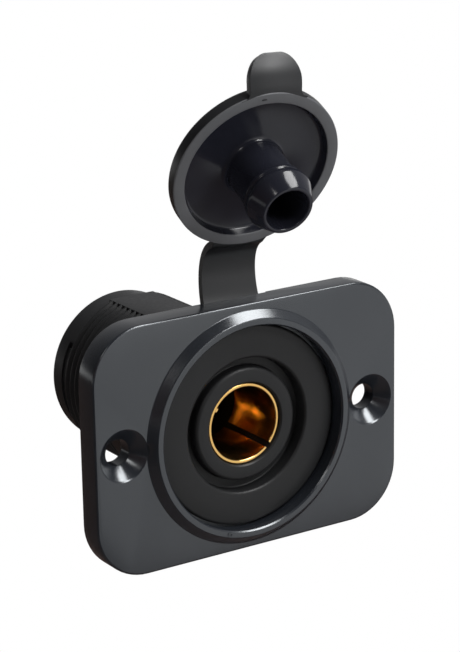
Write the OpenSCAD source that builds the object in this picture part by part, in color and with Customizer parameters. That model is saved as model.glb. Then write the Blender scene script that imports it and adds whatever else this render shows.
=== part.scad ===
// Flush mount DIN power socket with a hinged rubber sealing cap.
// Millimetres. The origin is on the socket's axis, in the back face of the plate.
// +X is to the right, +Y runs back into the panel, +Z is up, and the plug comes in from -Y.

/* [Plate] */
// Width of the plate
plate_w = 56.6; // [52:0.1:72]
// Height of the plate
plate_h = 40.4; // [39:0.1:56]
// Thickness of the plate
plate_t = 4.4; // [3.6:0.1:7]
// Radius of the plate's corners
corner_r = 8.8; // [2:0.1:12]
// Round on the plate's front edges
plate_edge = 0.5; // [0.2:0.05:1]
// Distance between the two screw holes
screw_spacing = 46.4; // [45:0.1:58]
// Diameter of the screw holes
screw_d = 4.2; // [3:0.1:5]
// Diameter of the countersinks at the plate's face
countersink_d = 8.3; // [6:0.1:9]

/* [Raised ring] */
// Radius of the recess inside the ring
recess_r = 16.5; // [15.5:0.1:17]
// Width of the ring's flat rim
ring_rim = 1.2; // [0.6:0.1:2]
// Run of the ring's sloped outer wall
ring_slope = 1.45; // [0.6:0.05:1.6]
// Height of the ring above the plate's face
ring_h = 1.3; // [0.6:0.05:2.5]

/* [Socket body] */
// Depth of the body's front face behind the plate's face
face_depth = 0.9; // [0.5:0.05:1.1]
// Thickness of the body's front flange
flange_t = 1; // [0.8:0.05:1.3]
// Inner radius of the groove round the boss
boss_r = 9.3; // [8.6:0.1:10]
// Width of the groove round the boss
groove_w = 1.7; // [0.8:0.1:1.8]
// Depth of the groove below the flange's face
groove_depth = 2.5; // [1:0.1:4]
// Depth of the boss's face below the flange's face
boss_drop = 0.6; // [0.2:0.05:1.5]
// Round on the boss's outer edge
boss_round = 0.6; // [0.2:0.05:1]
// Radius of the threaded barrel
barrel_r = 14; // [13.7:0.05:14.2]
// Half height across the barrel's two flats
flat_half = 13.3; // [13.2:0.05:13.5]
// Radius of the plain end of the barrel
lead_r = 13.1; // [12.5:0.05:13.15]
// Length of the plain end of the barrel
lead_l = 4.5; // [4.4:0.1:7]
// Distance from the plate's back face to the barrel's rear end
barrel_end = 36.1; // [34:0.1:48]
// Radius of the cavity at the rear of the barrel
cavity_r = 11.2; // [10:0.1:11.6]
// Depth of the cavity at the rear of the barrel
cavity_depth = 10; // [9:0.1:11]
// Thickness of the wall in front of the rear cavity
wall_t = 4; // [2:0.1:5]
// Distance of the snap slots from the barrel's rear end
slot_back = 3; // [2:0.1:3.1]
// Width of the snap slots
slot_w = 1.2; // [0.8:0.05:1.4]
// Angle that each snap slot takes up
slot_angle = 58; // [40:1:90]

/* [Contacts] */
// Inner radius of the brass sleeve
sleeve_ir = 6.05; // [6:0.01:6.2]
// Sheet thickness of the brass sleeve
sleeve_wall = 0.6; // [0.4:0.05:0.8]
// Depth of the sleeve's mouth below the boss's face
sleeve_drop = 0.5; // [0.1:0.05:1.5]
// Length of the sleeve
sleeve_l = 12; // [8:0.1:15]
// Width of the sleeve's slit
slit_w = 1; // [0.4:0.1:2]
// Angle of the slit round the sleeve
slit_angle = -45; // [-60:1:60]
// Width of the sleeve's tail
tail_w = 5; // [3:0.1:6]
// Width of the terminal blades
blade_w = 6.3; // [4:0.1:6.8]
// Thickness of the positive blade
blade_t = 0.8; // [0.5:0.05:1]
// Distance that the blades stand out past the barrel
blade_out = 7.5; // [5:0.1:12]
// Height of the positive blade above the axis
blade_up = 4.6; // [4.3:0.1:5.5]
// Chamfer on the corners of the blades' ends
blade_chamfer = 1.2; // [0.5:0.1:1.8]
// Radius of the holes in the blades
blade_hole_r = 0.85; // [0.5:0.05:1.2]
// Distance of the blades' holes from their ends
blade_hole_in = 3.2; // [2.2:0.1:4]
// Outer radius of the centre contact's fingers
finger_r = 3.6; // [3:0.05:4.5]
// Inner radius of the centre contact's fingers
finger_ir = 2.6; // [1.8:0.05:2.8]
// Length of the centre contact's fingers
finger_l = 8; // [5:0.1:9]
// Width of the cuts between the fingers
finger_cut = 0.8; // [0.4:0.05:1.2]
// Radius of the centre contact's flange
contact_flange_r = 5; // [4.6:0.05:5.6]
// Thickness of the centre contact's flange
contact_flange_t = 1.6; // [0.8:0.1:3]
// Radius of the centre contact's stud
stud_r = 2.4; // [1.5:0.05:2.7]
// Radius of the stud's peened end
peen_r = 3.3; // [2.9:0.05:3.6]
// Height of the stud's peened end
peen_h = 0.9; // [0.5:0.05:1.5]
// Thickness of the terminal base
base_t = 3.4; // [2.6:0.1:4.5]

/* [Nut] */
// Width of the nut across its flats
nut_across = 35; // [33:0.1:36]
// Height of the nut
nut_h = 5; // [3:0.1:8]
// Chamfer on the nut's corners
nut_chamfer = 0.8; // [0.3:0.05:1.5]

/* [Strap] */
// Outer radius of the strap's ring
strap_ring_r = 16.6; // [15.8:0.1:17.5]
// Thickness of the strap's ring
strap_ring_t = 1.5; // [1.2:0.05:1.6]
// Depth of the recess for the strap's ring in the plate's back
strap_sink = 0.5; // [0.2:0.05:0.8]
// Width of the strap at the plate
strap_w = 10.4; // [8:0.1:12]
// Width of the strap at the cap
strap_end_w = 8.9; // [7:0.1:11]
// Thickness of the strap
strap_t = 1.1; // [0.7:0.05:1.2]
// Backward lean of the strap where it leaves its ring
strap_lean = 37; // [25:1:45]
// Reach of the strap's lean behind the plate
strap_rise = 2.6; // [2:0.1:4]
// Reach of the strap's bend behind the cap
strap_reach = 5.3; // [4:0.1:7]

/* [Cap] */
// Height of the open cap's rim above the socket's axis
cap_z = 41.85; // [41:0.05:46]
// Distance of the open cap's rim in front of the plate's back face
cap_forward = 7.3; // [6:0.05:9]
// Angle that the cap turns through from open to closed
cap_swing = 157; // [150:0.5:165]
// Skew of the fold across the plate
fold_skew = 3; // [0:0.1:4]
// Gap between the closed cap's rim and the body's face
seat_gap = 1.5; // [0.9:0.05:1.8]
// Radius of the cap
cap_r = 13.8; // [13:0.05:14.6]
// Thickness of the cap
cap_t = 2.5; // [2.1:0.05:3.2]
// Width of the cap's flat rim
cap_rim = 1.8; // [1:0.05:2.4]
// Round on the cap's outer edge
cap_edge = 0.6; // [0.2:0.05:1]
// Depth of the dish inside the rim
dish_depth = 1.4; // [0.8:0.05:1.6]
// Lean of the dish's wall
dish_lean = 0.4; // [0.1:0.05:1]
// Radius of the bung's stem
stem_r = 4.6; // [4.2:0.05:4.9]
// Radius of the fillet at the stem's foot
stem_fillet = 0.7; // [0.2:0.05:1.5]
// Radius of the collar behind the bung's head
collar_r = 5; // [4.95:0.05:5.2]
// Distance of the collar from the rim
collar_at = 5.5; // [4:0.1:6]
// Length of the collar
collar_l = 0.9; // [0.6:0.05:1.2]
// Radius of the bung's head
head_r = 5.3; // [5.2:0.05:5.5]
// Length of the widest part of the bung's head
head_l = 1.1; // [0.6:0.05:1.6]
// Radius of the bung's tip
tip_r = 4.1; // [3.9:0.05:4.6]
// Reach of the bung past the rim
bung_l = 10.7; // [9.5:0.05:11.5]
// Radius of the hole in the bung
bung_hole_r = 3.45; // [2.6:0.05:3.6]
// Thickness of the floor under the bung's hole
bung_floor = 3; // [1.5:0.1:5]

/* [Tab] */
// Width of the tab
tab_w = 8.7; // [8:0.1:12]
// Reach of the tab past the cap's edge
tab_l = 5.6; // [5:0.1:8]
// Thickness of the tab
tab_t = 1.2; // [0.8:0.05:1.6]
// Radius of the tab's end corners
tab_corner = 3.9; // [2:0.1:4]
// Radius of the flares at the tab's root
tab_flare = 1.2; // [0.5:0.1:2.5]

/* [Hidden] */
$fn = 96;
fit = 0.1;
cut = 1;

plate_face = -plate_t;
ring_top = plate_face - ring_h;
rim_r = recess_r + ring_rim;
ring_base_r = rim_r + ring_slope;
body_face = plate_face + face_depth;
flange_back = body_face + flange_t;
flange_r = recess_r - 2 * fit;
flange_edge = 0.3;
lead_edge = 0.4;
groove_r = boss_r + groove_w;
boss_face = body_face + boss_drop;
groove_floor = body_face + groove_depth;
sleeve_or = sleeve_ir + sleeve_wall;
sleeve_mouth = boss_face + sleeve_drop;
sleeve_back = sleeve_mouth + sleeve_l;
bore_r = sleeve_or + fit;
cavity_front = barrel_end - cavity_depth;
wall_front = cavity_front - wall_t;
stud_bore = stud_r + fit;
tail_top = -sleeve_ir;
tail_bottom = -sleeve_or;
blade_end = barrel_end + blade_out;
slot_rear = barrel_end - slot_back;
slot_front = slot_rear - slot_w;
base_rear = slot_rear - fit;
base_front = base_rear - base_t;
snap_r = lead_r - 3 * fit;
strap_front = -strap_sink;
strap_mid = strap_front + strap_ring_t / 2;
strap_slot_w = strap_w + 16 * fit;
strap_ring_out = max(strap_ring_r, barrel_r + fit + strap_ring_t);
strap_root_z = max(strap_ring_out, nut_across / 2) + 2 * fit;
nut_front = strap_front + strap_ring_t;

closed_y = body_face - seat_gap;
fold_axis = [cos(fold_skew), -sin(fold_skew), 0];
cap_x = -(closed_y + cap_forward) * tan(fold_skew);
cap_at = [cap_x, -cap_forward, cap_z];
rim_in = cap_r - cap_rim;
head_at = collar_at + collar_l;
head_step = 0.4;
tab_foot = cap_r - cap_rim / 2;
tab_bend = 1.6;
tab_over = sqrt(pow(recess_r, 2) - pow(tab_w / 2, 2));
tab_slope = (closed_y - ring_top + 1.5 * fit) / (tab_over - tab_foot - tab_bend / 2);
tab_end = cap_r + tab_l;
lug_l = 0.5;
lug_lean = 42;
lug_set = 0.6;
lug_foot = cap_r - cap_rim / 2;
lug_end = cap_r + lug_l;

// A point p turned by a degrees about the unit axis k through the origin.
function turned_about(p, k, a) = p * cos(a) + cross(k, p) * sin(a) + k * (k * p) * (1 - cos(a));
// The same turn that the open cap has, for a point in the cap's own frame.
function in_cap(p) = turned_about([p[0], -p[1], -p[2]], fold_axis, -cap_swing);
function unit(v) = v / norm(v);
function smooth(s) = s * s * (3 - 2 * s);
function bezier(a, b, c, d, s) =
    a * pow(1 - s, 3) + 3 * b * s * pow(1 - s, 2) + 3 * c * s * s * (1 - s) + d * pow(s, 3);
function bezier_way(a, b, c, d, s) =
    unit((b - a) * pow(1 - s, 2) + 2 * (c - b) * s * (1 - s) + (d - c) * s * s);
// Points of a quarter round of radius r about c, from angle a0 to a1.
function arc(c, r, a0, a1, steps) = [for (i = [0:steps]) c + r * [cos(a0 + (a1 - a0) * i / steps),
                                                                  sin(a0 + (a1 - a0) * i / steps)]];

// A solid of revolution about the socket's axis, from a profile of radius and depth.
module turned(profile) {
    rotate([-90, 0, 0]) rotate_extrude() polygon(profile);
}

// A round bar along Y.
module bar_y(r, from, to) {
    translate([0, from, 0]) rotate([-90, 0, 0]) cylinder(r = r, h = to - from);
}

// A block that is centred on X.
module block(w, y0, y1, z0, z1) {
    translate([-w / 2, y0, z0]) cube([w, y1 - y0, z1 - z0]);
}

// The barrel's section with its two flats, from one depth to another.
module flatted_bar(extra, from, to) {
    intersection() {
        bar_y(barrel_r + extra, from, to);
        block(2 * barrel_r + 4 * extra, from, to, -flat_half - extra, flat_half + extra);
    }
}

// One corner of the plate, with the round of the front edge.
module plate_corner() {
    turned(concat([[0, 0], [corner_r, 0]],
                  arc([corner_r - plate_edge, plate_face + plate_edge], plate_edge, 0, -90, 6),
                  [[0, plate_face]]));
}

// The plate's section across one span, with rounds on the two front edges.
module plate_section(span) {
    polygon(concat(
        [[span / 2, 0], [-span / 2, 0]],
        arc([plate_edge - span / 2, plate_face + plate_edge], plate_edge, 180, 270, 6),
        arc([span / 2 - plate_edge, plate_face + plate_edge], plate_edge, 270, 360, 6)));
}

module plate_blank() {
    inner_w = plate_w - 2 * corner_r;
    inner_h = plate_h - 2 * corner_r;
    linear_extrude(inner_h, center = true) plate_section(plate_w);
    rotate([0, -90, 0]) linear_extrude(inner_w, center = true) plate_section(plate_h);
    for (x = [-1, 1], z = [-1, 1]) {
        translate([x * inner_w / 2, 0, z * inner_h / 2]) plate_corner();
    }
}

module mounting_plate() {
    color("#3c3f46") difference() {
        union() {
            plate_blank();
            turned([[recess_r - cut, 0], [ring_base_r, plate_face + cut], [ring_base_r, plate_face],
                    [rim_r, ring_top], [recess_r - cut, ring_top]]);
        }
        bar_y(recess_r, ring_top - cut, flange_back);
        flatted_bar(fit, flange_back - cut, cut);
        bar_y(strap_ring_out + fit, strap_front, cut);
        block(strap_slot_w, strap_front, cut, 0, plate_h / 2 + cut);
        for (side = [-1, 1]) {
            translate([side * screw_spacing / 2, 0, 0]) {
                bar_y(screw_d / 2, plate_face - cut, cut);
                countersink();
            }
        }
    }
}

module countersink() {
    depth = (countersink_d - screw_d) / 2;
    turned([[0, plate_face - cut], [countersink_d / 2 + cut, plate_face - cut],
            [screw_d / 2, plate_face + depth], [0, plate_face + depth]]);
}

module socket_body() {
    color("#1d1e21") difference() {
        union() {
            turned([[0, body_face], [flange_r - flange_edge, body_face], [flange_r, body_face + flange_edge],
                    [flange_r, flange_back], [0, flange_back]]);
            flatted_bar(0, flange_back - flange_t / 2, barrel_end - lead_l);
            turned([[0, barrel_end - lead_l - cut], [lead_r, barrel_end - lead_l - cut],
                    [lead_r, barrel_end - lead_edge], [lead_r - lead_edge, barrel_end], [0, barrel_end]]);
        }
        front_hollow();
        bar_y(bore_r, body_face - cut, wall_front);
        bar_y(stud_bore, wall_front - cut, cavity_front + cut);
        bar_y(cavity_r, cavity_front, barrel_end + cut);
        block(tail_w + 2 * fit, sleeve_back - cut, cavity_front + cut, tail_bottom - fit, tail_top + cut);
        for (side = [0, 180]) rotate([0, side, 0]) snap_slot();
    }
}

// What is cut from the body's face: the groove, and the space in front of the round-edged boss.
module front_hollow() {
    turned(concat(
        [[0, body_face - cut], [groove_r, body_face - cut], [groove_r, groove_floor], [boss_r, groove_floor]],
        arc([boss_r - boss_round, boss_face + boss_round], boss_round, 0, -90, 6),
        [[0, boss_face]]));
}

// A slot through the barrel's wall, for the snap ribs of the terminal base.
module snap_slot() {
    rotate([0, -slot_angle / 2, 0]) rotate([-90, 0, 0]) translate([0, 0, slot_front])
        rotate_extrude(angle = slot_angle) translate([cavity_r - cut, 0]) square([lead_r - cavity_r + 2 * cut, slot_w]);
}

// A flat blade that runs back to its chamfered end, with a latching hole.
module blade(from, bottom, top) {
    half = blade_w / 2;
    nose = half - blade_chamfer;
    translate([0, 0, bottom]) linear_extrude(top - bottom) difference() {
        polygon([[-half, from], [half, from], [half, blade_end - blade_chamfer], [nose, blade_end],
                 [-nose, blade_end], [-half, blade_end - blade_chamfer]]);
        translate([0, blade_end - blade_hole_in]) circle(r = blade_hole_r);
    }
}

module contact_sleeve() {
    color("#c8963c") {
        difference() {
            bar_y(sleeve_or, sleeve_mouth, sleeve_back);
            bar_y(sleeve_ir, sleeve_mouth - cut, sleeve_back + cut);
            rotate([0, -slit_angle, 0]) translate([0, sleeve_mouth - cut, -slit_w / 2])
                cube([sleeve_or + cut, sleeve_l + 2 * cut, slit_w]);
        }
        block(tail_w, sleeve_back - cut, base_front - cut, tail_bottom, tail_top);
        blade(base_front - cut, tail_bottom, tail_top);
    }
}

module centre_contact() {
    finger_front = wall_front - contact_flange_t - finger_l;
    stud_end = cavity_front + blade_t + peen_h;
    color("#d0a24a") difference() {
        turned([[0, finger_front + finger_l - cut], [finger_ir, finger_front + finger_l - cut],
                [finger_ir, finger_front], [finger_r, finger_front],
                [finger_r, finger_front + finger_l], [contact_flange_r, finger_front + finger_l],
                [contact_flange_r, wall_front], [stud_r, wall_front],
                [stud_r, cavity_front + blade_t], [peen_r, cavity_front + blade_t],
                [peen_r - peen_h / 2, stud_end], [0, stud_end]]);
        for (a = [0, 90]) {
            rotate([0, a, 0]) block(2 * finger_r + cut, finger_front - cut, finger_front + finger_l - 2 * cut,
                                    -finger_cut / 2, finger_cut / 2);
        }
    }
}

module positive_terminal() {
    eye_w = 2 * peen_r + blade_t;
    color("#c9c9c4") difference() {
        union() {
            bar_y(eye_w / 2, cavity_front, cavity_front + blade_t);
            block(eye_w, cavity_front, cavity_front + blade_t, 0, blade_up);
            blade(cavity_front, blade_up - blade_t, blade_up);
        }
        bar_y(stud_r + fit / 2, cavity_front - cut, cavity_front + blade_t + cut);
        bar_y(peen_r + fit, cavity_front + blade_t, cavity_front + blade_t + peen_h + cut);
    }
}

module terminal_base() {
    color("#26272a") difference() {
        union() {
            rotate([0, 90, 0]) bar_y(cavity_r - fit, base_front, base_rear);
            for (side = [0, 180]) rotate([0, side, 0]) snap_rib();
        }
        block(blade_w + 2 * fit, base_front - cut, base_rear + cut, blade_up - blade_t - fit, blade_up + fit);
        block(blade_w + 2 * fit, base_front - cut, base_rear + cut, tail_bottom - fit, tail_top + fit);
    }
}

// A rib of the terminal base that snaps into a slot of the barrel.
module snap_rib() {
    rib_angle = slot_angle - 4;
    rotate([0, -rib_angle / 2, 0]) rotate([-90, 0, 0]) translate([0, 0, slot_front + fit])
        rotate_extrude(angle = rib_angle) translate([cavity_r - cut, 0])
            square([snap_r - cavity_r + cut, slot_w - 2 * fit]);
}

module retaining_nut() {
    corner = nut_across / sqrt(3);
    color("#2a2b2f") translate([0, nut_front, 0]) difference() {
        intersection() {
            rotate([-90, 0, 0]) cylinder(r = corner, h = nut_h, $fn = 6);
            turned([[0, 0], [corner - nut_chamfer, 0], [corner, nut_chamfer / 2],
                    [corner, nut_h - nut_chamfer / 2], [corner - nut_chamfer, nut_h], [0, nut_h]]);
        }
        bar_y(barrel_r + fit, -cut, nut_h + cut);
    }
}

module strap_ring() {
    front = strap_mid - strap_t / 2;
    back = strap_mid + strap_t / 2;
    slant = strap_t / 2 * tan(strap_lean);
    color("#2b2c30") difference() {
        union() {
            bar_y(strap_ring_out, strap_front, nut_front);
            rotate([90, 0, 90]) linear_extrude(strap_w, center = true)
                polygon([[front, 0], [back, 0], [back, strap_root_z - slant], [front, strap_root_z + slant]]);
        }
        bar_y(barrel_r + fit, strap_front - cut, nut_front + cut);
    }
}

// The middle of the strap at its two ends, and the way that it runs there.
lug_back = lug_set + lug_l * tan(lug_lean) / 2 + strap_t / 2;
strap_from = [0, strap_mid, strap_root_z];
strap_to = cap_at + in_cap([0, lug_back, -lug_end]);
strap_out = in_cap([0, sin(lug_lean), -cos(lug_lean)]);
strap_side = in_cap([1, 0, 0]);
strap_up = [0, sin(strap_lean), cos(strap_lean)] * strap_rise;
strap_steps = 20;

function strap_point(s) = bezier(strap_from, strap_from + strap_up,
                                 strap_to + strap_out * strap_reach, strap_to, s);
function strap_way(s) = bezier_way(strap_from, strap_from + strap_up,
                                   strap_to + strap_out * strap_reach, strap_to, s);
function strap_across(s) = let (way = strap_way(s),
                                side = [1, 0, 0] * (1 - smooth(s)) + strap_side * smooth(s))
    unit(side - way * (side * way));
function strap_ring_points(s) = let (mid = strap_point(s),
                                     across = strap_across(s),
                                     out = cross(strap_way(s), across),
                                     half_w = (strap_w * (1 - s) + strap_end_w * s) / 2)
    [for (c = [[-1, -1], [1, -1], [1, 1], [-1, 1]]) mid + across * c[0] * half_w + out * c[1] * strap_t / 2];

module cap_strap() {
    points = [for (i = [0:strap_steps]) each strap_ring_points(i / strap_steps)];
    sides = [for (i = [0:strap_steps - 1], k = [0:3]) [4 * i + k, 4 * i + 4 + k,
                                                       4 * i + 4 + (k + 1) % 4, 4 * i + (k + 1) % 4]];
    last = 4 * strap_steps;
    color("#303136") polyhedron(points, concat([[0, 1, 2, 3]], sides,
                                               [[last + 3, last + 2, last + 1, last]]));
}

// The open cap's place. Inside, the bung points along -Y and the tab is at the top.
module at_cap() {
    translate(cap_at) rotate(a = -cap_swing, v = fold_axis) rotate([180, 0, 0]) children();
}

module sealing_cap() {
    color("#2e2f34") at_cap() {
        rotate([90, 0, 0]) rotate_extrude() polygon([
            [0, -cap_t], [cap_r - cap_edge, -cap_t], [cap_r, cap_edge - cap_t], [cap_r, 0], [rim_in, 0],
            [rim_in - dish_lean, -dish_depth], [stem_r + stem_fillet, -dish_depth],
            [stem_r, stem_fillet - dish_depth], [stem_r, collar_at], [collar_r, collar_at + head_step],
            [collar_r, head_at], [head_r, head_at + head_step], [head_r, head_at + head_step + head_l],
            [tip_r, bung_l], [bung_hole_r, bung_l], [bung_hole_r, bung_floor - cap_t],
            [0, bung_floor - cap_t]]);
        cap_tab();
        cap_lug();
    }
}

// How far the tab's front face lies back at a distance past its foot, so that it clears the ring.
function tab_back(past) = past < tab_bend ? tab_slope * past * past / (2 * tab_bend)
                                          : tab_slope * (past - tab_bend / 2);

// The pull tab: a bent strip cut to a round-ended outline.
module cap_tab() {
    steps = 14;
    stations = [for (i = [0:steps]) tab_foot + (tab_end - tab_foot) * i / steps];
    half = tab_w / 2;
    intersection() {
        rotate([90, 0, 90]) linear_extrude(2 * tab_w, center = true) polygon(concat(
            [for (u = stations) [tab_back(u - tab_foot), u]],
            [for (i = [steps:-1:0]) [tab_back(stations[i] - tab_foot) + tab_t, stations[i]]]));
        translate([0, tab_end, 0]) rotate([90, 0, 0]) linear_extrude(2 * tab_end) {
            translate([-half, 0]) square([tab_w, tab_end - tab_corner]);
            translate([tab_corner - half, 0]) square([tab_w - 2 * tab_corner, tab_end]);
            for (side = [-1, 1]) {
                translate([side * (half - tab_corner), tab_end - tab_corner]) circle(r = tab_corner);
                scale([side, 1]) tab_root();
            }
        }
    }
}

// The outline of the flare between one side of the tab and the cap's round edge.
module tab_root() {
    side = tab_w / 2 + tab_flare;
    reach = sqrt(pow(cap_r + tab_flare, 2) - pow(side, 2));
    lean = atan2(reach, side);
    polygon(concat([[0, tab_foot], [0, reach]],
                   arc([side, reach], tab_flare, 180, 180 + lean, 6),
                   [[side * tab_foot / (cap_r + tab_flare), reach * tab_foot / (cap_r + tab_flare)]]));
}

// The lug that carries the strap, curved back behind the rim.
module cap_lug() {
    steps = 6;
    lean = [for (i = [0:steps]) lug_lean * i / steps];
    run = [for (i = [0:steps]) cap_r + lug_l * i / steps];
    mid = [for (i = [0:steps]) [lug_set + strap_t / 2 + lug_l * tan(lug_lean) / 2 * pow(i / steps, 2), -run[i]]];
    rotate([90, 0, 90]) linear_extrude(strap_end_w, center = true) polygon(concat(
        [[lug_set, -lug_foot]],
        [for (i = [0:steps]) mid[i] - strap_t / 2 * [cos(lean[i]), sin(lean[i])]],
        [for (i = [steps:-1:0]) mid[i] + strap_t / 2 * [cos(lean[i]), sin(lean[i])]],
        [[lug_set + strap_t, -lug_foot]]));
}

mounting_plate();
socket_body();
contact_sleeve();
centre_contact();
terminal_base();
positive_terminal();
retaining_nut();
strap_ring();
cap_strap();
sealing_cap();
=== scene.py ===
import bpy
import bmesh
import math
from mathutils import Matrix, Vector


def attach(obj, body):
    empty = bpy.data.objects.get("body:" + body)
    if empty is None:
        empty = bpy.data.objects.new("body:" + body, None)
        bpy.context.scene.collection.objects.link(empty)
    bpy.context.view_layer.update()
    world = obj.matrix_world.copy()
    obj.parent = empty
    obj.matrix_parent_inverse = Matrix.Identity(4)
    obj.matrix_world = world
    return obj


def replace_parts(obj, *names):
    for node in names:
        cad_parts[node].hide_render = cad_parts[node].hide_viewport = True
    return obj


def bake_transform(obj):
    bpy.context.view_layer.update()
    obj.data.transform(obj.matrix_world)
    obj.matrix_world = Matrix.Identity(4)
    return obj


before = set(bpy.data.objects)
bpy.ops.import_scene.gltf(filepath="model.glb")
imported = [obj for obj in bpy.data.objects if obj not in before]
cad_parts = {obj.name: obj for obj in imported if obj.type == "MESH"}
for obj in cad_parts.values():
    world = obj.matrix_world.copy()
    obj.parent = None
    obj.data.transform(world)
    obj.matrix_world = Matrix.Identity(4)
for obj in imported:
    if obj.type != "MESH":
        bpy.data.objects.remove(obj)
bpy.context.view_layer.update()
mm = 0.001
hair = 1e-7  # points nearer than this are one point
print("frame loaded")


def pickOnly(obj):
    if bpy.context.mode != "OBJECT":
        bpy.ops.object.mode_set(mode="OBJECT")
    bpy.ops.object.select_all(action="DESELECT")
    if obj:
        obj.select_set(True)
        bpy.context.view_layer.objects.active = obj


def editMesh(obj):
    pickOnly(obj)
    bpy.ops.object.mode_set(mode="EDIT")


def pickParts(obj, kind, test):  # verts, edges or faces, by place
    bpy.ops.mesh.select_mode(type=kind)
    bpy.ops.mesh.select_all(action="DESELECT")
    work = bmesh.from_edit_mesh(obj.data)
    found = {"VERT": work.verts, "EDGE": work.edges, "FACE": work.faces}[kind]
    for part in found:
        if test(part):
            part.select_set(True)
    bmesh.update_edit_mesh(obj.data)


def roundedPath(corners, closed):  # corners are (across, along) or (across, along, radius)
    path, count, halfTurnSteps = [], len(corners), 10
    longest = 0.49  # share of a side that one round may take up
    for i, corner in enumerate(corners):
        here = Vector(corner[:2])
        radius = corner[2] if len(corner) > 2 else 0
        if radius == 0 or (not closed and i in (0, count - 1)):
            path.append(here)
            continue
        before, after = Vector(corners[i - 1][:2]), Vector(corners[(i + 1) % count][:2])
        toBefore, toAfter = (before - here).normalized(), (after - here).normalized()
        half = toBefore.angle(toAfter) / 2
        reach = min(radius / math.tan(half), longest * (before - here).length, longest * (after - here).length)
        radius = reach * math.tan(half)
        middle = here + (toBefore + toAfter).normalized() * (radius / math.sin(half))
        first, last = here + toBefore * reach - middle, here + toAfter * reach - middle
        steps = max(2, math.ceil(halfTurnSteps * (math.pi - 2 * half) / math.pi))
        turn = first.angle_signed(last)
        for k in range(steps + 1):
            angle = -turn * k / steps
            spun = Vector((first.x * math.cos(angle) - first.y * math.sin(angle),
                           first.x * math.sin(angle) + first.y * math.cos(angle)))
            path.append(middle + spun)
    return path


def startVertex(name, place):
    pickOnly(None)
    bpy.ops.mesh.primitive_plane_add(size=mm)
    obj = bpy.context.object
    obj.name = obj.data.name = name
    bpy.ops.object.mode_set(mode="EDIT")
    bpy.ops.mesh.select_mode(type="VERT")
    bpy.ops.mesh.select_all(action="SELECT")
    bpy.ops.mesh.merge(type="CENTER")
    bpy.ops.transform.translate(value=place)
    return obj


def drawProfile(name, corners, closed):  # a wire in the XY plane, in millimetres
    path = roundedPath(corners, closed)
    obj = startVertex(name, (path[0].x * mm, path[0].y * mm, 0))
    for here, there in zip(path, path[1:]):
        step = (there - here) * mm
        bpy.ops.mesh.extrude_region_move(TRANSFORM_OT_translate={"value": (step.x, step.y, 0)})
    if closed:
        ends = [Vector((p.x * mm, p.y * mm, 0)) for p in (path[0], path[-1])]
        pickParts(obj, "VERT", lambda v: min((v.co - e).length for e in ends) < hair)
        bpy.ops.mesh.edge_face_add()
    return obj


def tidyMesh():
    bpy.ops.mesh.select_all(action="SELECT")
    bpy.ops.mesh.remove_doubles(threshold=hair)
    bpy.ops.mesh.normals_make_consistent(inside=False)
    bpy.ops.object.mode_set(mode="OBJECT")


def turnProfile(name, corners, steps, closed=True):  # spun round the socket's axis
    obj = drawProfile(name, corners, closed)
    bpy.ops.mesh.select_all(action="SELECT")
    bpy.ops.mesh.spin(steps=steps, angle=math.tau, center=(0, 0, 0), axis=(0, 1, 0))
    tidyMesh()
    return obj


def addBlock(name, low, high):  # a cube between two corners, in millimetres
    pickOnly(None)
    middle = [(a + b) / 2 * mm for a, b in zip(low, high)]
    bpy.ops.mesh.primitive_cube_add(size=1, location=middle, scale=[(b - a) * mm for a, b in zip(low, high)])
    obj = bpy.context.object
    obj.name = obj.data.name = name
    bpy.ops.object.transform_apply(location=True, rotation=True, scale=True)
    return obj


def combine(obj, tool, how):
    mod = obj.modifiers.new("combine", "BOOLEAN")
    mod.operation, mod.object, mod.solver = how, tool, "MANIFOLD"
    pickOnly(obj)
    bpy.ops.object.modifier_apply(modifier=mod.name)
    bpy.data.objects.remove(tool)


def softenEdges(obj, width, segments=2, angle=40):
    mod = obj.modifiers.new("soften", "BEVEL")
    mod.width, mod.segments = width * mm, segments
    mod.limit_method, mod.angle_limit = "ANGLE", math.radians(angle)
    pickOnly(obj)
    bpy.ops.object.modifier_apply(modifier=mod.name)


def smoothFaces(obj, angle):
    pickOnly(obj)
    bpy.ops.object.shade_smooth_by_angle(angle=math.radians(angle))


def joinPieces(main, *others):
    pickOnly(main)
    for other in others:
        other.select_set(True)
    bpy.ops.object.join()


def placePiece(obj, place):  # a place and turn that end up in the mesh
    obj.matrix_world = place
    pickOnly(obj)
    bpy.ops.object.transform_apply(location=True, rotation=True, scale=True)


def turnedBy(degrees):  # about the socket's axis
    return Matrix.Rotation(math.radians(degrees), 4, "Y")


def drawStrip(name, rows, thick, towards):  # rows of two points; thick goes towards the given side
    obj = startVertex(name, rows[0][0])
    bpy.ops.mesh.extrude_region_move(TRANSFORM_OT_translate={"value": rows[0][1] - rows[0][0]})
    bpy.ops.mesh.select_all(action="SELECT")
    for row, nextRow in zip(rows, rows[1:]):
        step = (nextRow[0] + nextRow[1] - row[0] - row[1]) / 2
        bpy.ops.mesh.extrude_region_move(TRANSFORM_OT_translate={"value": step})
        work = bmesh.from_edit_mesh(obj.data)
        moved = [v for v in work.verts if v.select]
        moved.sort(key=lambda v: (v.co - step - row[0]).length)
        moved[0].co, moved[1].co = nextRow
        bmesh.update_edit_mesh(obj.data)
    bpy.ops.mesh.select_all(action="SELECT")
    bpy.ops.mesh.normals_make_consistent(inside=False)
    pickOnly(obj)
    facing = sum(p.normal.dot(towards) for p in obj.data.polygons)
    mod = obj.modifiers.new("wall", "SOLIDIFY")
    mod.thickness, mod.offset = thick * mm, 1 if facing > 0 else -1
    mod.use_even_offset = True
    bpy.ops.object.modifier_apply(modifier=mod.name)
    editMesh(obj)
    tidyMesh()
    return obj


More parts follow.
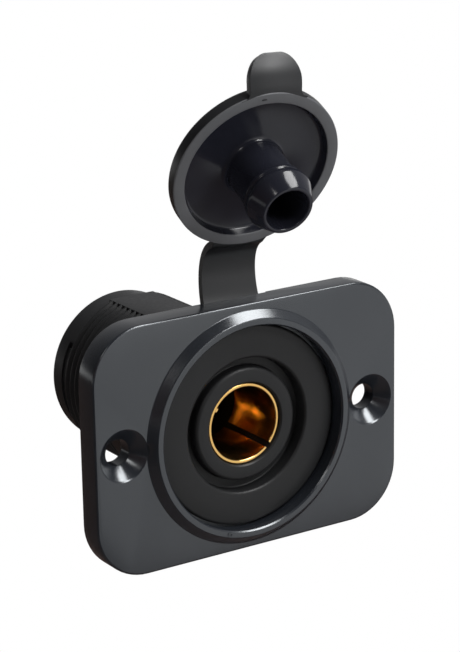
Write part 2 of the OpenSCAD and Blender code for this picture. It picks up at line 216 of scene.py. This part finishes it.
class Wire:  # a shader socket that takes part in sums
    def __init__(self, finish, socket):
        self.finish, self.socket = finish, socket

    def sum(self, how, other):
        return self.finish.node("ShaderNodeMath", {"operation": how}, {0: self, 1: other})

    def __add__(self, other): return self.sum("ADD", other)
    def __mul__(self, other): return self.sum("MULTIPLY", other)


class Finish:  # one material, or the world, and its nodes
    def __init__(self, name, owner=None):
        self.owner = owner or bpy.data.materials.new(name)
        self.owner.use_nodes = True
        self.tree = self.owner.node_tree
        self.tree.nodes.clear()

    def node(self, kind, settings=None, inputs=None, out=0):
        made = self.tree.nodes.new(kind)
        for key, value in (settings or {}).items():
            if key == "stops":
                ramp = made.color_ramp
                while len(ramp.elements) < len(value):
                    ramp.elements.new(0.5)
                for element, (place, colour) in zip(ramp.elements, value):
                    element.position, element.color = place, (*colour, 1)
            else:
                setattr(made, key, value)
        for key, value in (inputs or {}).items():
            if isinstance(value, Wire):
                self.tree.links.new(value.socket, made.inputs[key])
            else:
                made.inputs[key].default_value = value
        return Wire(self, made.outputs[out]) if made.outputs else None

    def noise(self, size, detail, stretch=(1, 1, 1)):  # size of the blotches in millimetres
        place = self.node("ShaderNodeTexCoord", out="Object")
        at = self.node("ShaderNodeMapping", {}, {"Vector": place, "Scale": stretch})
        return self.node("ShaderNodeTexNoise", {}, {"Vector": at, "Scale": 1 / (size * mm), "Detail": detail})

    def blend(self, factor, dark, light):
        inputs = {0: factor, 6: (*dark, 1), 7: (*light, 1)}
        return self.node("ShaderNodeMix", {"data_type": "RGBA"}, inputs, out=2)

    def bump(self, height, depth, strength):  # depth in millimetres
        inputs = {"Height": height, "Distance": depth * mm, "Strength": strength}
        return self.node("ShaderNodeBump", {}, inputs)

    def surface(self, **sockets):
        made = self.node("ShaderNodeBsdfPrincipled", {}, {k.replace("_", " "): v for k, v in sockets.items()})
        self.node("ShaderNodeOutputMaterial", {}, {"Surface": made})
        return self.owner


def makePlatePlastic():  # satin moulded plastic with a faint haze
    look = Finish("plateSatinPlastic")
    haze, grain = look.noise(14, 2), look.noise(0.16, 2)
    smear = look.noise(5, 4, (1, 1, 0.35))
    return look.surface(
        Base_Color=look.blend(haze, (0.0095, 0.0110, 0.0140), (0.0135, 0.0155, 0.0195)),
        Roughness=smear * 0.09 + 0.17,
        Normal=look.bump(grain, 0.006, 0.35),
        Specular_IOR_Level=0.72,
        Specular_Tint=(0.93, 0.97, 1.0, 1))


def makeBodyPlastic():  # matt spark-eroded black plastic
    look = Finish("bodyGrainPlastic")
    haze, grain, pits = look.noise(9, 3), look.noise(0.22, 3), look.noise(0.6, 2)
    return look.surface(
        Base_Color=look.blend(haze, (0.0092, 0.0095, 0.0100), (0.0132, 0.0135, 0.0142)),
        Roughness=pits * 0.14 + 0.36,
        Normal=look.bump(grain * 0.7 + pits * 0.3, 0.02, 0.55),
        Specular_IOR_Level=0.2)


def makeCapRubber():  # dull moulded rubber of the cap's outside, the tab and the strap
    look = Finish("capDullRubber")
    haze, grain, bloom = look.noise(7, 3), look.noise(0.3, 3), look.noise(2.2, 4)
    return look.surface(
        Base_Color=look.blend(haze, (0.0095, 0.0100, 0.0110), (0.0140, 0.0146, 0.0160)),
        Roughness=bloom * 0.10 + 0.31,
        Normal=look.bump(grain, 0.012, 0.4),
        Specular_IOR_Level=0.27)


def makeRimSheenRubber():  # the rim's face, painted paler than the other rubber as a painted sheen for the light it reflects, in random blotches
    look = Finish("rimPaintedSheenRubber")
    haze, grain, rimBlotch = look.noise(6, 3), look.noise(0.35, 3), look.noise(1.4, 4)
    return look.surface(
        # painted sheen: this base colour is several times paler than the cap's other rubber, standing in for
        # reflected light
        Base_Color=look.blend(haze * 0.6 + rimBlotch * 0.4, (0.056, 0.058, 0.063), (0.080, 0.083, 0.090)),
        Roughness=rimBlotch * 0.14 + 0.46,
        Normal=look.bump(grain, 0.014, 0.4),
        IOR=1.5)


def makePolishedRubber():  # the bung and the dish come from a polished tool
    look = Finish("bungPolishedRubber")
    haze, ripple = look.noise(6, 2), look.noise(1.6, 1)
    return look.surface(
        Base_Color=look.blend(haze, (0.0085, 0.009, 0.0135), (0.013, 0.0138, 0.0195)),
        Roughness=haze * 0.06 + 0.11,
        Normal=look.bump(ripple, 0.01, 0.25),
        Specular_IOR_Level=0.27)


def makeBrass():  # drawn brass sheet
    look = Finish("drawnBrass")
    tarnish, lines = look.noise(3.5, 4), look.noise(0.35, 3, (1, 0.06, 1))
    return look.surface(
        Base_Color=look.blend(tarnish, (0.62, 0.36, 0.11), (0.83, 0.55, 0.21)),
        Metallic=1.0,
        Roughness=lines * 0.16 + 0.13,
        Normal=look.bump(lines, 0.006, 0.35))


def makeTinPlate():  # tinned blade
    look = Finish("tinnedBlade")
    cloud, lines = look.noise(2.5, 4), look.noise(0.3, 2, (1, 0.05, 1))
    return look.surface(
        Base_Color=look.blend(cloud, (0.52, 0.52, 0.50), (0.68, 0.67, 0.64)),
        Metallic=1.0,
        Roughness=lines * 0.14 + 0.26,
        Normal=look.bump(lines, 0.004, 0.3))


finishes = {
    "plate": makePlatePlastic(), "body": makeBodyPlastic(), "rubber": makeCapRubber(), "rim": makeRimSheenRubber(),
    "polished": makePolishedRubber(), "brass": makeBrass(), "tin": makeTinPlate()}
print("finishes made")


def wear(obj, *names):
    obj.data.materials.clear()
    for name in names:
        obj.data.materials.append(finishes[name])


# mounting plate: rounded blank, raised ring, screw holes, the strap's notch and the ring left by the moulding gate
plate = {
    "width": 56.6, "height": 40.4, "thick": 4.4, "corner": 8.8, "frontEdge": 0.34, "backEdge": 0.2,
    "ringTop": -5.7, "rimOut": 17.9, "ringFoot": 19.15, "footSink": 0.01, "footSkirt": 0.6, "ringIn": 15.5,
    "recess": 16.75, "recessLead": 0.25, "recessFlare": 0.6, "ahead": -8, "past": 1,
    "ledge": -2.5, "bore": 14.1,
    "screwAt": 23.2, "screwHole": 2.1, "sinkRadius": 4.15,
    "strapRing": 16.7, "strapDepth": 0.5, "notch": 12.0, "notchFrom": 10,
    "markIn": 0.24, "markOut": 0.44, "markRise": 0.12, "markSink": 0.2, "markAt": (-5.1, -16.6)}


def makePlate():
    p = plate
    face, w, h, past, top = -p["thick"], p["width"] / 2, p["height"] / 2, p["past"], p["ringTop"]
    obj = addBlock("mountingPlate", (-w, face, -h), (w, 0, h))
    editMesh(obj)
    pickParts(obj, "EDGE", lambda e: abs(e.verts[0].co.y - e.verts[1].co.y) > mm)
    bpy.ops.mesh.bevel(offset=p["corner"] * mm, segments=14, affect="EDGES")
    for depth, edge, segments in ((face, p["frontEdge"], 5), (0, p["backEdge"], 3)):
        pickParts(obj, "EDGE", lambda e: all(abs(v.co.y - depth * mm) < 10 * hair for v in e.verts))
        bpy.ops.mesh.bevel(offset=edge * mm, segments=segments, affect="EDGES")
    bpy.ops.object.mode_set(mode="OBJECT")
    foot, skirt, sunk = p["ringFoot"], p["ringFoot"] + p["footSkirt"], face + p["footSink"]
    ring = turnProfile("ring", [
        (p["ringIn"], face + past), (skirt, face + past), (skirt, sunk),
        (foot, sunk, 0.35), (p["rimOut"], top, 0.3), (p["ringIn"], top)], 160)
    combine(obj, ring, "UNION")
    wall, lead = p["recess"], p["recessLead"]
    seat = -p["strapDepth"]
    recess = turnProfile("recess", [
        (0, p["ahead"]), (wall + p["recessFlare"], p["ahead"]), (wall + lead, top, 0.1), (wall, top + lead, 0.2),
        (wall, p["ledge"]), (p["bore"], p["ledge"]), (p["bore"], seat), (p["strapRing"], seat),
        (p["strapRing"], past), (0, past)], 160, False)
    combine(obj, recess, "DIFFERENCE")
    half = p["notch"] / 2
    notch = addBlock("notch", (-half, seat, p["notchFrom"]), (half, past, h + past))
    combine(obj, notch, "DIFFERENCE")
    wide, narrow = p["sinkRadius"], p["screwHole"]
    for side in (-1, 1):
        sink = turnProfile("sink", [
            (0, face - past), (wide + 0.5, face - past), (wide + 0.12, face, 0.1),
            (wide - 0.1, face + 0.14, 0.2), (narrow, face + wide - narrow, 0.3),
            (narrow, past), (0, past)], 64, False)
        placePiece(sink, Matrix.Translation((side * p["screwAt"] * mm, 0, 0)))
        combine(obj, sink, "DIFFERENCE")
    sunk, proud = top + p["markSink"], top - p["markRise"]
    mark = turnProfile("gateMark", [
        (p["markIn"], sunk), (p["markIn"], proud, 0.03), (p["markOut"], proud, 0.03), (p["markOut"], sunk)], 24)
    placePiece(mark, Matrix.Translation((p["markAt"][0] * mm, 0, p["markAt"][1] * mm)))
    combine(obj, mark, "UNION")
    smoothFaces(obj, 28)
    wear(obj, "plate")
    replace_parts(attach(obj, "socket"), "mounting_plate")


makePlate()
print("plate made")

# socket body: flange, groove, boss, barrel with its thread, flats and snap slots
body = {
    "face": -3.5, "flange": 16.45, "flangeBack": -2.5, "grooveOut": 11, "grooveIn": 9.3, "grooveFloor": -1,
    "bossFace": -2.9, "bore": 6.75, "boreLead": 0.25, "wallFront": 22.1, "wallBack": 26.1, "stud": 2.5,
    "root": 13.1, "end": 36.1, "cavity": 11.2,
    "slotFrom": 31.9, "slotTo": 33.1, "slotHalf": 29, "slotPast": 1, "slotEndIn": 0.5, "slotEndDeep": 4,
    "crest": 14, "crestHalf": 0.14, "ridgeSink": 0.3, "ridgeFoot": 0.04, "ridgeGap": 0.05, "ridgeStep": 0.12,
    "pitch": 1.5, "threadFrom": 0.9, "turns": 20,
    "flat": 13.3, "flatHalf": 4.3, "padLift": 0.02, "padFloor": 12.6, "padFrom": -2, "padTo": 31.6}


def makeThread():
    b = body
    half, low, foot, crest = b["pitch"] / 2, b["root"] - b["ridgeSink"], b["root"] + b["ridgeFoot"], b["crest"]
    outer, inner, flat = half - b["ridgeGap"], half - b["ridgeStep"], b["crestHalf"]
    ridge = drawProfile("ridge", [
        (low, -outer), (foot, -inner, 0.1), (crest, -flat, 0.12),
        (crest, flat, 0.12), (foot, inner, 0.1), (low, outer)], True)
    bpy.ops.mesh.select_all(action="SELECT")
    bpy.ops.transform.translate(value=(0, b["threadFrom"] * mm, 0))
    pickOnly(ridge)
    mod = ridge.modifiers.new("helix", "SCREW")
    mod.axis, mod.screw_offset, mod.angle = "Y", b["pitch"] * mm, math.tau
    mod.iterations = b["turns"]
    mod.steps = mod.render_steps = 72
    bpy.ops.object.modifier_apply(modifier=mod.name)
    editMesh(ridge)
    bpy.ops.mesh.select_all(action="SELECT")
    bpy.ops.mesh.fill_holes(sides=0)
    for side in (1, -1):
        bpy.ops.mesh.select_all(action="SELECT")
        bpy.ops.mesh.bisect(plane_co=(0, 0, side * b["flat"] * mm), plane_no=(0, 0, side),
                            use_fill=True, clear_outer=True)
    tidyMesh()
    return ridge


def cutSlot(obj, turn):  # one snap slot with half round ends
    b = body
    low, high = b["cavity"] - b["slotPast"], b["root"] + b["slotPast"]
    radius = (b["slotTo"] - b["slotFrom"]) / 2
    slot = drawProfile("slot", [
        (low, b["slotFrom"]), (high, b["slotFrom"]), (high, b["slotTo"]), (low, b["slotTo"])], True)
    bpy.ops.mesh.select_all(action="SELECT")
    bpy.ops.mesh.edge_face_add()
    bpy.ops.mesh.spin(steps=24, angle=math.radians(2 * b["slotHalf"]), center=(0, 0, 0), axis=(0, 1, 0))
    tidyMesh()
    placePiece(slot, turnedBy(b["slotHalf"] + turn))
    for end in (-1, 1):
        pickOnly(None)
        bpy.ops.mesh.primitive_cylinder_add(
            vertices=24, radius=radius * mm * 0.999, depth=b["slotEndDeep"] * mm,  # a shade under the slot's width
            rotation=(0, math.pi / 2, 0),
            location=((b["root"] - b["slotEndIn"]) * mm, (b["slotFrom"] + radius) * mm, 0))
        bore = bpy.context.object
        bpy.ops.object.transform_apply(location=True, rotation=True, scale=True)
        placePiece(bore, turnedBy(end * b["slotHalf"] + turn))
        combine(obj, bore, "DIFFERENCE")
    combine(obj, slot, "DIFFERENCE")


def makeBody():
    b = body
    bore, inside, outside, boss, face = b["bore"], b["grooveIn"], b["grooveOut"], b["bossFace"], b["face"]
    obj = turnProfile("socketBody", [
        (bore, boss + b["boreLead"], 0.2), (bore + b["boreLead"], boss, 0.1), (inside, boss, 0.6),
        (inside, b["grooveFloor"], 0.3), (outside, b["grooveFloor"], 0.3), (outside, face, 0.5),
        (b["flange"], face, 0.55), (b["flange"], b["flangeBack"]), (b["root"], b["flangeBack"]),
        (b["root"], b["end"], 0.4), (b["cavity"], b["end"], 0.3), (b["cavity"], b["wallBack"]),
        (b["stud"], b["wallBack"]), (b["stud"], b["wallFront"]), (bore, b["wallFront"])], 160)
    for turn in (180, 0):
        cutSlot(obj, turn)
    pads, half = [], b["flatHalf"]
    for side in (-1, 1):
        low, high = sorted((side * b["padFloor"], side * (b["flat"] + b["padLift"])))
        pad = addBlock("flatPad", (-half, b["padFrom"], low), (half, b["padTo"], high))
        softenEdges(pad, 0.08)
        pads.append(pad)
    joinPieces(obj, makeThread(), *pads)
    smoothFaces(obj, 30)
    wear(obj, "body")
    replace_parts(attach(obj, "socket"), "socket_body")


makeBody()
print("body made")

# brass sleeve: rolled sheet with a slit and a tooth, its tail and the blade behind
sleeve = {
    "inner": 6.05, "outer": 6.65, "mouth": -2.4, "back": 9.6, "slit": 1.0, "slitAngle": -45, "past": 1,
    "toothIn": 0.3, "toothSet": 0.2, "toothFrom": 0.05, "toothTo": 1.2, "toothHalf": 0.35, "toothAngle": -148,
    "tail": 5, "tailTo": 28.6, "blade": 6.3, "bladeTo": 43.6, "chamfer": 1.2, "hole": 0.85, "holeIn": 3.2}


def makeBlade(name, bottom, top, front):
    s = sleeve
    half, end, near = s["blade"] / 2, s["bladeTo"], 0.1
    obj = addBlock(name, (-half, front, bottom), (half, end, top))
    editMesh(obj)
    pickParts(obj, "EDGE", lambda e: all(v.co.y > (end - near) * mm for v in e.verts)
              and abs(e.verts[0].co.z - e.verts[1].co.z) > near * mm)
    bpy.ops.mesh.bevel(offset=s["chamfer"] * mm, segments=1, affect="EDGES")
    bpy.ops.object.mode_set(mode="OBJECT")
    pickOnly(None)
    middle = (0, (end - s["holeIn"]) * mm, (bottom + top) / 2 * mm)
    bpy.ops.mesh.primitive_cylinder_add(vertices=32, radius=s["hole"] * mm, depth=6 * mm, location=middle)
    combine(obj, bpy.context.object, "DIFFERENCE")
    softenEdges(obj, 0.09)
    return obj


def makeSleeve():
    s = sleeve
    inner, outer, mouth, back, past = s["inner"], s["outer"], s["mouth"], s["back"], s["past"]
    obj = turnProfile("contactSleeve", [
        (inner, mouth, 0.16), (outer, mouth, 0.2), (outer, back, 0.1), (inner, back, 0.1)], 128)
    cut = addBlock("slit", (0, mouth - past, -s["slit"] / 2), (outer + past, back + past, s["slit"] / 2))
    placePiece(cut, turnedBy(-s["slitAngle"]))
    combine(obj, cut, "DIFFERENCE")
    tooth = addBlock("tooth", (inner - s["toothIn"], mouth + s["toothFrom"], -s["toothHalf"]),
                     (inner + s["toothSet"], mouth + s["toothTo"], s["toothHalf"]))
    softenEdges(tooth, 0.06)
    placePiece(tooth, turnedBy(s["toothAngle"]))
    half = s["tail"] / 2
    tail = addBlock("tail", (-half, back - past, -outer), (half, s["tailTo"] + past, -inner))
    softenEdges(tail, 0.08)
    joinPieces(obj, tooth, tail, makeBlade("negativeBlade", -outer, -inner, s["tailTo"]))
    smoothFaces(obj, 30)
    wear(obj, "brass")
    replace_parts(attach(obj, "socket"), "contact_sleeve")


makeSleeve()
print("sleeve made")

# sealing cap: turned rim, dish and bung, with the tab, a gate nick and the strap's lug
cap = {
    "x": -0.1205, "forward": 7.3, "height": 41.85, "swing": 157, "skew": 3,
    "radius": 13.8, "thick": 2.5, "rimIn": 12.0, "rimFace": 0.25, "dish": 1.4, "lean": 0.4,
    "stem": 4.6, "collar": 5.05, "collarAt": 5.5, "collarFrom": 0.3, "collarTo": 0.8, "neck": 0.2,
    "head": 5.3, "headAt": 6.75, "headFrom": 0.35, "headTo": 1.2, "tip": 4.1, "reach": 10.7,
    "hole": 3.45, "holeTaper": 0.15, "holeFloor": -0.5,
    "tabHalf": 4.35, "tabShift": 0.4, "tabFoot": 12.5, "tabStart": 12.9, "tabBend": 0.8, "tabSlope": 0.14,
    "tabEnd": 18.6, "tabThick": 1.2, "tabCorner": 3.2, "tabFlare": 1.2, "tabCurl": 5.7, "curlRise": 0.09,
    "tabSet": 0.01, "tabSteps": 44,
    "nickLow": (-0.5, -0.09, 12.75), "nickHigh": (0.35, 0.2, 12.95), "nickAngle": -6}

foldAxis = Vector((math.cos(math.radians(cap["skew"])), -math.sin(math.radians(cap["skew"])), 0))
capPlace = (Matrix.Translation(Vector((cap["x"], -cap["forward"], cap["height"])) * mm)
            @ Matrix.Rotation(math.radians(-cap["swing"]), 4, foldAxis) @ Matrix.Rotation(math.pi, 4, "X"))


def easeIn(share):
    share = min(1, max(0, share))
    return share * share * (3 - 2 * share)


def flareHalf(half, out, flare, radius):  # half width of a strip that flares into the cap's round edge
    side = half + flare
    reach = math.sqrt((radius + flare) ** 2 - side ** 2)
    if out >= reach:
        return half
    sweep = max(0, flare ** 2 - (reach - out) ** 2)
    return side - math.sqrt(sweep)


def makeTab():
    c = cap
    rows = []
    foot, end, steps, shift = c["tabFoot"], c["tabEnd"], c["tabSteps"], c["tabShift"]
    for i in range(steps + 1):
        out = foot + (end - foot) * math.sin(math.pi / 2 * i / steps)
        past = max(0, out - c["tabStart"])
        bend = min(past, c["tabBend"])
        curl = max(0, out - end + c["tabCurl"])
        run = bend * bend / 2 / c["tabBend"] + past - bend
        back = c["tabSlope"] * run + c["curlRise"] * curl * curl + c["tabSet"]
        half = flareHalf(c["tabHalf"], out, c["tabFlare"], c["radius"])
        over = max(0, out - (end - c["tabCorner"]))
        half -= c["tabCorner"] - math.sqrt(max(0, c["tabCorner"] ** 2 - over ** 2))
        rows.append(tuple(Vector((x, back, out)) * mm for x in (shift - half, shift + half)))
    tab = drawStrip("tab", rows, c["tabThick"], Vector((0, 1, 0)))
    softenEdges(tab, 0.22, 3, 50)
    return tab


def faceSpot(face):  # a face's distance from the axis and its place along it, in millimetres
    middle = face.calc_center_median() / mm
    return math.hypot(middle.x, middle.z), middle.y


def inDish(face):
    out, along = faceSpot(face)
    return out < cap["rimIn"] - 0.1 and along < cap["dish"] + 0.01


def onRim(face):
    out, along = faceSpot(face)
    return out >= cap["rimIn"] - 0.1 and along < cap["rimFace"]


def makeCap(lug):
    c = cap
    stem, collar, head, hole, floor = c["stem"], c["collar"], c["head"], c["hole"], -c["holeFloor"]
    collarAt, headAt, tipAt = -c["collarAt"], -c["headAt"], -c["reach"]
    obj = turnProfile("sealingCap", [
        (0, c["thick"]), (c["radius"], c["thick"], 0.7), (c["radius"], 0, 0.22), (c["rimIn"], 0, 0.18),
        (c["rimIn"] - c["lean"], c["dish"], 0.45), (stem, c["dish"], 0.8), (stem, collarAt + 0.1, 0.15),
        (collar, collarAt - c["collarFrom"], 0.25), (collar, collarAt - c["collarTo"], 0.25),
        (stem + c["neck"], headAt + 0.15, 0.12), (head, headAt - c["headFrom"], 0.3),
        (head, headAt - c["headTo"], 0.5), (c["tip"], tipAt, 0.3), (hole, tipAt, 0.22),
        (hole - c["holeTaper"], floor, 0.5), (0, floor)], 128, False)
    wear(obj, "rubber", "polished", "rim")
    editMesh(obj)
    for slot, test in ((1, inDish), (2, onRim)):
        pickParts(obj, "FACE", test)
        obj.active_material_index = slot
        bpy.ops.object.material_slot_assign()
    bpy.ops.object.mode_set(mode="OBJECT")
    tab = makeTab()
    wear(tab, "rubber")
    combine(obj, tab, "UNION")
    nick = addBlock("gateNick", c["nickLow"], c["nickHigh"])
    placePiece(nick, turnedBy(c["nickAngle"]))
    softenEdges(nick, 0.05)
    wear(nick, "rubber")
    joinPieces(obj, nick)
    placePiece(obj, capPlace)
    wear(lug, "rubber")
    joinPieces(obj, lug)
    smoothFaces(obj, 30)
    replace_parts(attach(obj, "cap"), "sealing_cap")


# strap: one strip along the bend, cut in the middle into two halves and where the cap takes it
strap = {
    "from": (0, 0.25, 17.7), "lean": 37, "rise": 2.6, "reach": 5.3, "rootHalf": 5.2, "endHalf": 4.45,
    "thick": 1.1, "steps": 48, "lugSteps": 12, "lugFoot": 12.6, "lugEnd": 14.3, "lugSet": 0.6, "lugBack": 1.375,
    "lugLean": 42, "flareLeft": 0.5, "flareRight": 2.6}


def inCap(x, y, z):  # a point of the cap's own frame, in millimetres
    return capPlace @ (Vector((x, y, z)) * mm)


def middleOf(row):
    return (row[0] + row[1]) / 2


def strapRows():
    s = strap
    turn = capPlace.to_3x3()
    start, end = Vector(s["from"]) * mm, inCap(0, s["lugBack"], -s["lugEnd"])
    lean, lugLean = math.radians(s["lean"]), math.radians(s["lugLean"])
    away = turn @ Vector((0, math.sin(lugLean), -math.cos(lugLean)))
    side = turn @ Vector((1, 0, 0))
    rise = Vector((0, math.sin(lean), math.cos(lean))) * s["rise"] * mm
    points = [start, start + rise, end + away * s["reach"] * mm, end]
    legs = [b - a for a, b in zip(points, points[1:])]
    rows = []
    for i in range(s["steps"] + 1):
        t = i / s["steps"]
        u = 1 - t
        mid = points[0] * u ** 3 + points[1] * 3 * t * u * u + points[2] * 3 * t * t * u + points[3] * t ** 3
        way = (legs[0] * u * u + legs[1] * 2 * t * u + legs[2] * t * t).normalized()
        across = Vector((1, 0, 0)).lerp(side, easeIn(t))
        across = (across - way * across.dot(way)).normalized()
        face = across.cross(way).normalized()
        half = s["rootHalf"] * u + s["endHalf"] * t
        middle = mid + face * s["thick"] / 2 * mm
        rows.append((middle - across * half * mm, middle + across * half * mm))
    return rows


def lugRows(last):  # from the strap's last row on to the cap's rim
    s = strap
    rows = [last]
    first = capPlace.inverted() @ middleOf(last) / mm
    start, foot = Vector((first.y, -first.z)), Vector((s["lugSet"], s["lugFoot"]))
    knee = Vector((s["lugSet"], start.y - (start.x - s["lugSet"]) / math.tan(math.radians(s["lugLean"]))))
    for i in range(1, s["lugSteps"] + 1):
        t = i / s["lugSteps"]
        spot = start * (1 - t) ** 2 + knee * 2 * t * (1 - t) + foot * t * t
        flares = s["flareLeft"], s["flareRight"]
        left, right = (flareHalf(s["endHalf"], spot.y, flare, cap["radius"]) for flare in flares)
        rows.append((inCap(-left, spot.x, -spot.y), inCap(right, spot.x, -spot.y)))
    return rows


def makeStrap():
    rows = strapRows()
    cut = len(rows) // 2
    behind = Vector((0, 1, 0))
    lower = drawStrip("strapLower", rows[:cut + 1], strap["thick"], behind)
    upper = drawStrip("strapUpper", rows[cut:], strap["thick"], behind)
    lug = drawStrip("strapLug", lugRows(rows[-1]), strap["thick"], behind)
    seam = middleOf(rows[cut])
    for obj in (lower, upper):
        wear(obj, "rubber")
        smoothFaces(obj, 30)
        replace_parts(obj, "cap_strap")
    middleOf(rows[0])
    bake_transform(lower)
    middleOf(rows[-1])
    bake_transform(upper)
    return lug


makeCap(makeStrap())
print("cap and strap made")

# solids that keep their shape and get a finish
for node, name in (("centre_contact", "brass"), ("terminal_base", "body"), ("positive_terminal", "tin"),
                   ("retaining_nut", "body"), ("strap_ring", "rubber")):
    wear(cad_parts[node], name)
print("solids finished")

# stage, light and camera
stage = {
    "floorDrop": -75, "floorSize": 14.0, "floorTone": (0.86, 0.86, 0.86, 1), "backdrop": (1, 1, 1, 1),
    "skyStrength": 0.65, "skyWay": (0.75, 0.35, 0.30), "lampAim": (0, 0, 0.015),
    "sky": [(0.10, (0.15, 0.065, 0.042)), (0.36, (0.06, 0.06, 0.064)),
            (0.62, (0.26, 0.26, 0.27)), (0.88, (0.66, 0.66, 0.67))]}
cards = [
    # dark cards that take the floor's glare out of the reflections: name, place and size in metres, colour
    ("underCard", (-0.05, 0.27, -0.073), (1.3, 0.7), (0.10, 0.07, 0.06)),
    ("leftCard", (-1.44, -0.84, -0.073), (2.92, 1.52), (0.015, 0.010, 0.009))]
lamps = [
    # name, place in metres, width, height, watts, colour
    ("highBox", (0.28, -0.20, 0.50), 0.26, 0.26, 3.4, (1, 1, 1)),
    ("rightBox", (0.26, -0.62, 0.08), 0.30, 0.26, 0.5, (1, 1, 1)),
    ("leftBox", (-0.40, -0.30, 0.40), 0.10, 0.14, 0.45, (1, 0.985, 0.96)),
    ("frontBox", (0.26, -0.52, 0.44), 0.20, 0.20, 2.5, (1, 1, 1))]
view = {
    "yaw": 32.88, "pitch": 16.68, "roll": -1.03, "distance": 0.36821, "aim": (-0.00075, 0, 0.01565),
    "focus": 2349.2, "tall": 652, "sensor": 36, "near": 0.01, "far": 20}  # focus and picture height in pixels


def makeFloor():
    pickOnly(None)
    bpy.ops.mesh.primitive_plane_add(size=stage["floorSize"], location=(0, 0, stage["floorDrop"] * mm))
    floor = bpy.context.object
    floor.name = "floor"
    look = Finish("paleFloor")
    path = look.node("ShaderNodeLightPath", out="Is Camera Ray")
    rays = path.socket.node.outputs
    seen = path + Wire(look, rays["Is Glossy Ray"]) + Wire(look, rays["Is Transmission Ray"])
    seen = look.node("ShaderNodeMath", {"operation": "MINIMUM"}, {0: seen, 1: 1.0})
    plain = look.node("ShaderNodeBsdfDiffuse", {}, {"Color": stage["floorTone"]})
    glow = look.node("ShaderNodeEmission", {}, {"Color": stage["backdrop"], "Strength": 1.0})
    both = look.node("ShaderNodeMixShader", {}, {0: seen, 1: plain, 2: glow})
    look.node("ShaderNodeOutputMaterial", {}, {"Surface": both})
    floor.data.materials.append(look.owner)
    return floor


def makeCard(name, place, size, colour):
    look = Finish(name)
    dark = look.node("ShaderNodeBsdfDiffuse", {}, {"Color": (*colour, 1)})
    look.node("ShaderNodeOutputMaterial", {}, {"Surface": dark})
    pickOnly(None)
    bpy.ops.mesh.primitive_plane_add(size=1, location=place)
    card = bpy.context.object
    card.name, card.scale = name, (*size, 1)
    bpy.ops.object.transform_apply(location=True, rotation=True, scale=True)
    card.data.materials.append(look.owner)
    card.visible_camera = card.visible_shadow = card.visible_diffuse = False
    return card


def makeSky():
    world = bpy.data.worlds.new("studio")
    bpy.context.scene.world = world
    look = Finish("studio", world)
    way = look.node("ShaderNodeTexCoord", out="Generated")
    inputs = {0: way, 1: stage["skyWay"]}
    along = look.node("ShaderNodeVectorMath", {"operation": "DOT_PRODUCT"}, inputs, out="Value")
    tone = look.node("ShaderNodeValToRGB", {"stops": stage["sky"]}, {0: along * 0.5 + 0.5})
    glow = look.node("ShaderNodeBackground", {}, {"Color": tone, "Strength": stage["skyStrength"]})
    look.node("ShaderNodeOutputWorld", {}, {"Surface": glow})


def makeLamp(name, place, width, height, watts, colour):
    light = bpy.data.lights.new(name, "AREA")
    light.shape, light.size, light.size_y = "RECTANGLE", width, height
    light.energy, light.color = watts, colour
    lamp = bpy.data.objects.new(name, light)
    bpy.context.scene.collection.objects.link(lamp)
    lamp.location = place
    lamp.rotation_euler = (Vector(stage["lampAim"]) - Vector(place)).to_track_quat("-Z", "Y").to_euler()


def makeCamera():
    yaw, pitch, roll = (math.radians(view[k]) for k in ("yaw", "pitch", "roll"))
    ahead = Vector((math.sin(yaw) * math.cos(pitch), math.cos(yaw) * math.cos(pitch), -math.sin(pitch)))
    right = Vector((math.cos(yaw), -math.sin(yaw), 0))
    up = right.cross(ahead)
    right, up = right * math.cos(roll) + up * math.sin(roll), up * math.cos(roll) - right * math.sin(roll)
    data = bpy.data.cameras.new("camera")
    data.sensor_width, data.lens = view["sensor"], view["sensor"] * view["focus"] / view["tall"]
    data.clip_start, data.clip_end = view["near"], view["far"]
    camera = bpy.data.objects.new("camera", data)
    bpy.context.scene.collection.objects.link(camera)
    turn = Matrix((right, up, -ahead)).transposed().to_4x4()
    camera.matrix_world = Matrix.Translation(Vector(view["aim"]) - ahead * view["distance"]) @ turn
    bpy.context.scene.camera = camera


pieces = [makeFloor()] + [makeCard(*card) for card in cards]
makeSky()
for lamp in lamps:
    makeLamp(*lamp)
makeCamera()
bpy.context.scene.view_settings.view_transform = "Standard"
pickOnly(None)
print("scene made")
